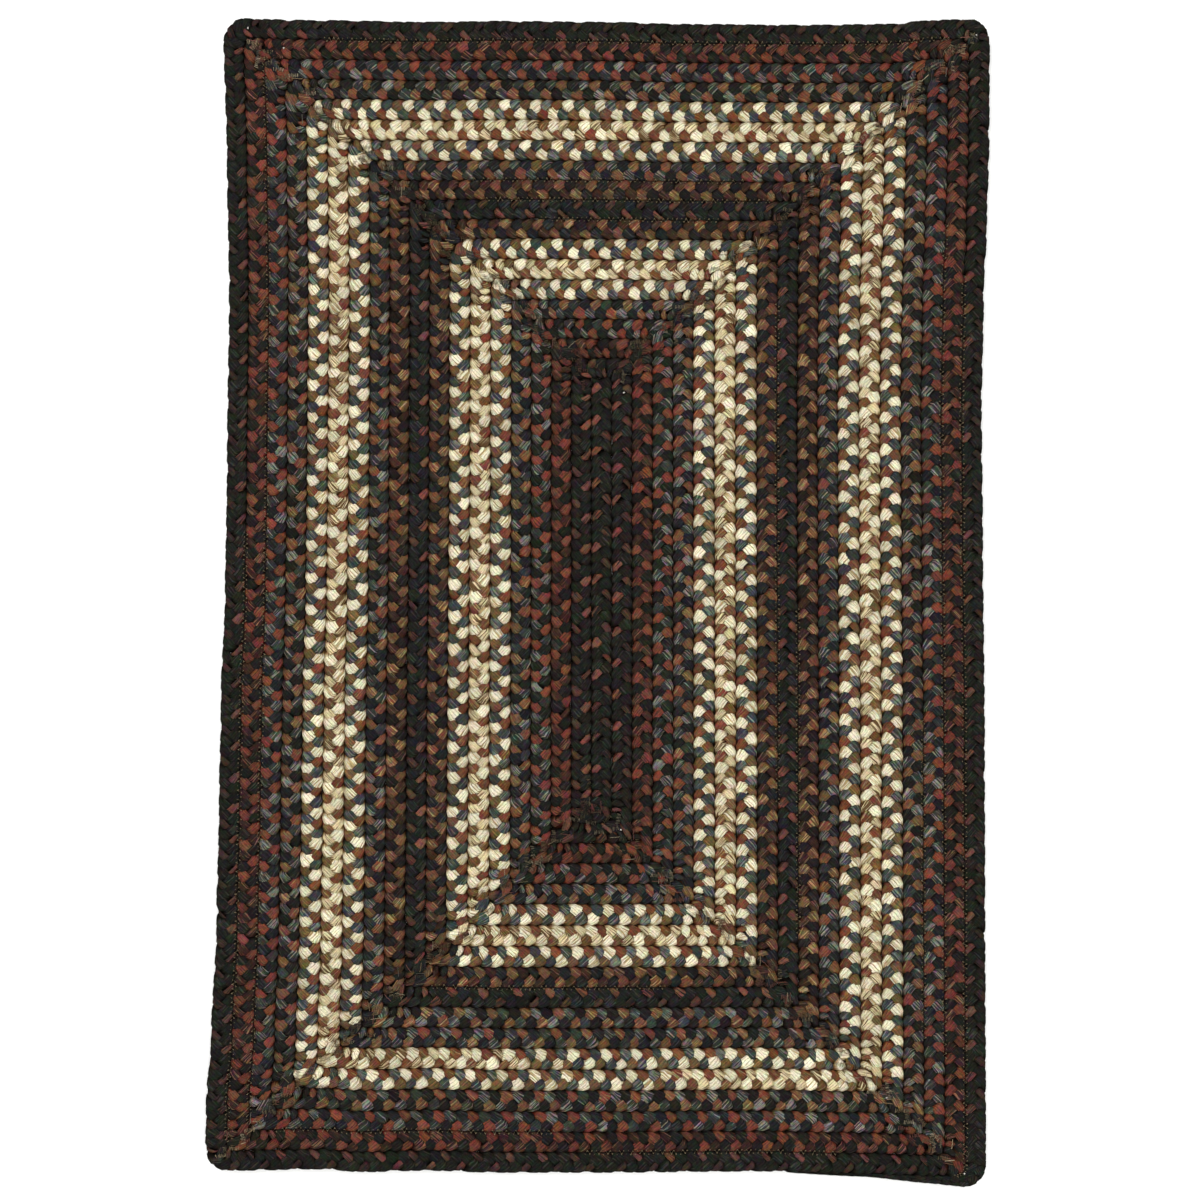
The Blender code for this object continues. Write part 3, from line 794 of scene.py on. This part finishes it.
# Where a turn was stitched round its corner the machine ran to and fro, so tight zigzags lie
# along the rows by each mitre, some of them straight or aslant. A few bits of pale lint are
# caught in them.
cornerStitches = {
    "each": 7,  # short runs of stitches at a corner
    "spread": 6 * mm,  # how far along the rows they lie from it
    "straight": 0.2,  # share of them that run straight
    "aslant": 0.2,  # share that lie aslant
    "slant": math.radians(45),
    "across": (0.05, 0.95),  # where they lie between the row's seams, as shares of its width
    "shift": 1.0 * mm,  # unevenness of their places
    "turn": 0.1,  # and of their heading, in radians
    "points": 15,
    "step": 0.45 * mm,  # from one point to the next
    "reach": 1.35 * mm,  # to either side
    "reachShares": (0.7, 1.15),  # the least and the greatest, beside that
    "fray": 0.1 * mm,  # unevenness of the points
    "radius": 0.21 * mm,
    "height": 8.75 * mm,
    "heightSpread": (-0.5 * mm, 0.3 * mm),  # of one run of stitches beside that
    "ripple": 0.15 * mm,  # up and down within it
    "edgeGap": 9 * mm,  # none starts nearer to the edge of the last turn
    "colours": ("#9B8463", "#B19E7D", "#9B6C61", "#81775A", "#6D6B61", "#C2B495", "#966458"),
    # how bright the stitches are, by run
    "tones": ((0, 0.32), (16, 0.5), (28, 0.45), (44, 0.5), (58, 0.75), (66, 0.85), (73, 0.85)),
    "lint": ((0.0176, 0.1385), (0.0156, -0.1510), (-0.2076, 0.3668), (-0.2314, 0.3800),
             (0.2510, 0.3754), (0.1914, -0.3281), (0.2431, -0.3785)),
    "lintSize": 0.35 * mm,
    "lintFlat": 0.2,  # its height beside its width
    "lintColour": "#D6D2C9",
}


# A run of stitches is a thread of even steps along its heading that sways from side to side. A
# bit of lint is a thread whose points are scattered round its place.
def makeCornerStitches(material):
    look = cornerStitches
    each, count = look["each"], look["points"]
    inner = innerCorner[1:lastRun + 1, None]
    outer = outerCorner[1:lastRun + 1, None]
    share = dice.uniform(*look["across"], (lastRun, each, 1))
    start = (inner * (1 - share) + outer * share).reshape(-1, 2)
    row = np.repeat(np.arange(lastRun), each)
    back = dice.integers(0, 2, len(row))[:, None]
    way = np.where(back, -heading[row % 4], heading[(row + 1) % 4])
    start += way * np.abs(dice.normal(0, look["spread"], (len(row), 1)))
    start += dice.normal(0, look["shift"], start.shape)
    lie = np.arctan2(way[:, 1], way[:, 0]) + dice.normal(0, look["turn"], len(start))
    lie += (dice.uniform(0, 1, len(start)) < look["aslant"]) * look["slant"]
    ahead = np.stack((np.cos(lie), np.sin(lie)), 1)[:, None]
    aside = np.stack((-np.sin(lie), np.cos(lie)), 1)[:, None]
    run = (np.arange(count) - count / 2) * look["step"]
    sway = np.where(np.arange(count) % 2 == 0, 1, -1) * look["reach"]
    sway = sway * dice.uniform(*look["reachShares"], (len(start), count))
    sway *= dice.uniform(0, 1, (len(start), 1)) > look["straight"]
    flat = start[:, None] + ahead * run[:, None] + aside * sway[..., None]
    flat += dice.normal(0, look["fray"], flat.shape)
    height = look["height"] + dice.uniform(*look["heightSpread"], (len(start), 1))
    height = height + dice.normal(0, look["ripple"], (len(start), count))
    spots = np.concatenate((settled(flat.reshape(-1, 2)), height.reshape(-1, 1)), 1)
    spots = spots.reshape(len(start), count, 3)
    toneRuns, tones = np.array(look["tones"]).T
    tone = np.repeat(np.interp(runs[1:lastRun + 1], toneRuns, tones), each)
    inside = np.all(np.abs(start - middle) < halfSize - look["edgeGap"], 1)
    spots, tone = spots[inside], tone[inside, None]
    colours = np.array([linearColour(text) for text in look["colours"]])
    shade = np.repeat(colours[dice.integers(0, len(colours), len(spots))] * tone, count, 0)
    lintAt = np.array(look["lint"])
    lint = np.concatenate((lintAt, np.full((len(lintAt), 1), look["height"])), 1)[:, None]
    lintShape = np.array((1, 1, look["lintFlat"]))
    lint = lint + dice.normal(0, look["lintSize"], (len(lintAt), count, 3)) * lintShape
    lintShade = np.tile(linearColour(look["lintColour"]), (len(lintAt) * count, 1))
    points, faces = threadTubes(np.concatenate((spots, lint)), look["radius"])
    colour = ringColours(np.concatenate((shade, lintShade)))
    piece = newPiece("corner_stitches", points, faces, material, None, {"dyeAndShade": colour})
    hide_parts(rugNode)
    print(f"corner_stitches: {len(faces)} triangles")


makeBraids(woolMaterial())
spun = threadMaterial()
makeSewing(spun)
makeCornerStitches(spun)

# The studio: a pale floor, two broad lamps and an even sky.
studio = {
    "floor": "#FAFAF8",
    "floorHalf": 3.0,  # half its width, in metres
    "floorRoughness": 0.9,
    "sky": 1.14,
    "lamps": ((-0.8, 1.0, 1.9, 1.6, 24.0), (0.9, -0.6, 2.0, 1.6, 15.3)),  # x, y, z, size, watts
}


def makeStudio():
    mesh = bpy.data.meshes.new("floor")
    half = studio["floorHalf"]
    corners = [(-half, -half, 0), (half, -half, 0), (half, half, 0), (-half, half, 0)]
    mesh.from_pydata(corners, [], [(0, 1, 2, 3)])
    floor = bpy.data.objects.new("floor", mesh)
    bpy.context.scene.collection.objects.link(floor)
    board, tree, shader = newMaterial("matt_painted_board")
    shader.inputs["Base Color"].default_value = (*linearColour(studio["floor"]), 1)
    shader.inputs["Roughness"].default_value = studio["floorRoughness"]
    mesh.materials.append(board)
    world = bpy.data.worlds.new("sky")
    world.use_nodes = True
    sky = world.node_tree.nodes["Background"]
    sky.inputs["Color"].default_value = (1, 1, 1, 1)
    sky.inputs["Strength"].default_value = studio["sky"]
    bpy.context.scene.world = world
    for number, (x, y, z, size, watts) in enumerate(studio["lamps"]):
        light = bpy.data.lights.new(f"lamp_{number}", "AREA")
        light.shape = "DISK"
        light.size = size
        light.energy = watts
        lamp = bpy.data.objects.new(f"lamp_{number}", light)
        lamp.location = (x, y, z)
        lamp.rotation_euler = (-lamp.location).to_track_quat("-Z", "Y").to_euler()
        bpy.context.scene.collection.objects.link(lamp)
    print(f"studio: floor, sky and {len(studio['lamps'])} lamps")


# The camera looks straight down.
camera = {
    "spot": (1.7 * mm, 1.3 * mm),  # the point in the middle of the frame
    "frameWidth": 795.8 * mm,  # what the frame takes in at half the rug's height
    "height": 2.6,  # above the floor, in metres
    "sensorWidth": 36,  # in millimetres, as the lens is
}


def makeCamera():
    lens = bpy.data.cameras.new("camera")
    lens.sensor_width = camera["sensorWidth"]
    lens.lens = lens.sensor_width * (camera["height"] - rugHeight / 2) / camera["frameWidth"]
    view = bpy.data.objects.new("camera", lens)
    view.location = (*camera["spot"], camera["height"])
    bpy.context.scene.collection.objects.link(view)
    bpy.context.scene.camera = view
    print(f"camera: {lens.lens:.1f} mm lens, {camera['height']} m above the floor")


makeStudio()
makeCamera()
bpy.context.scene.view_settings.view_transform = "Standard"
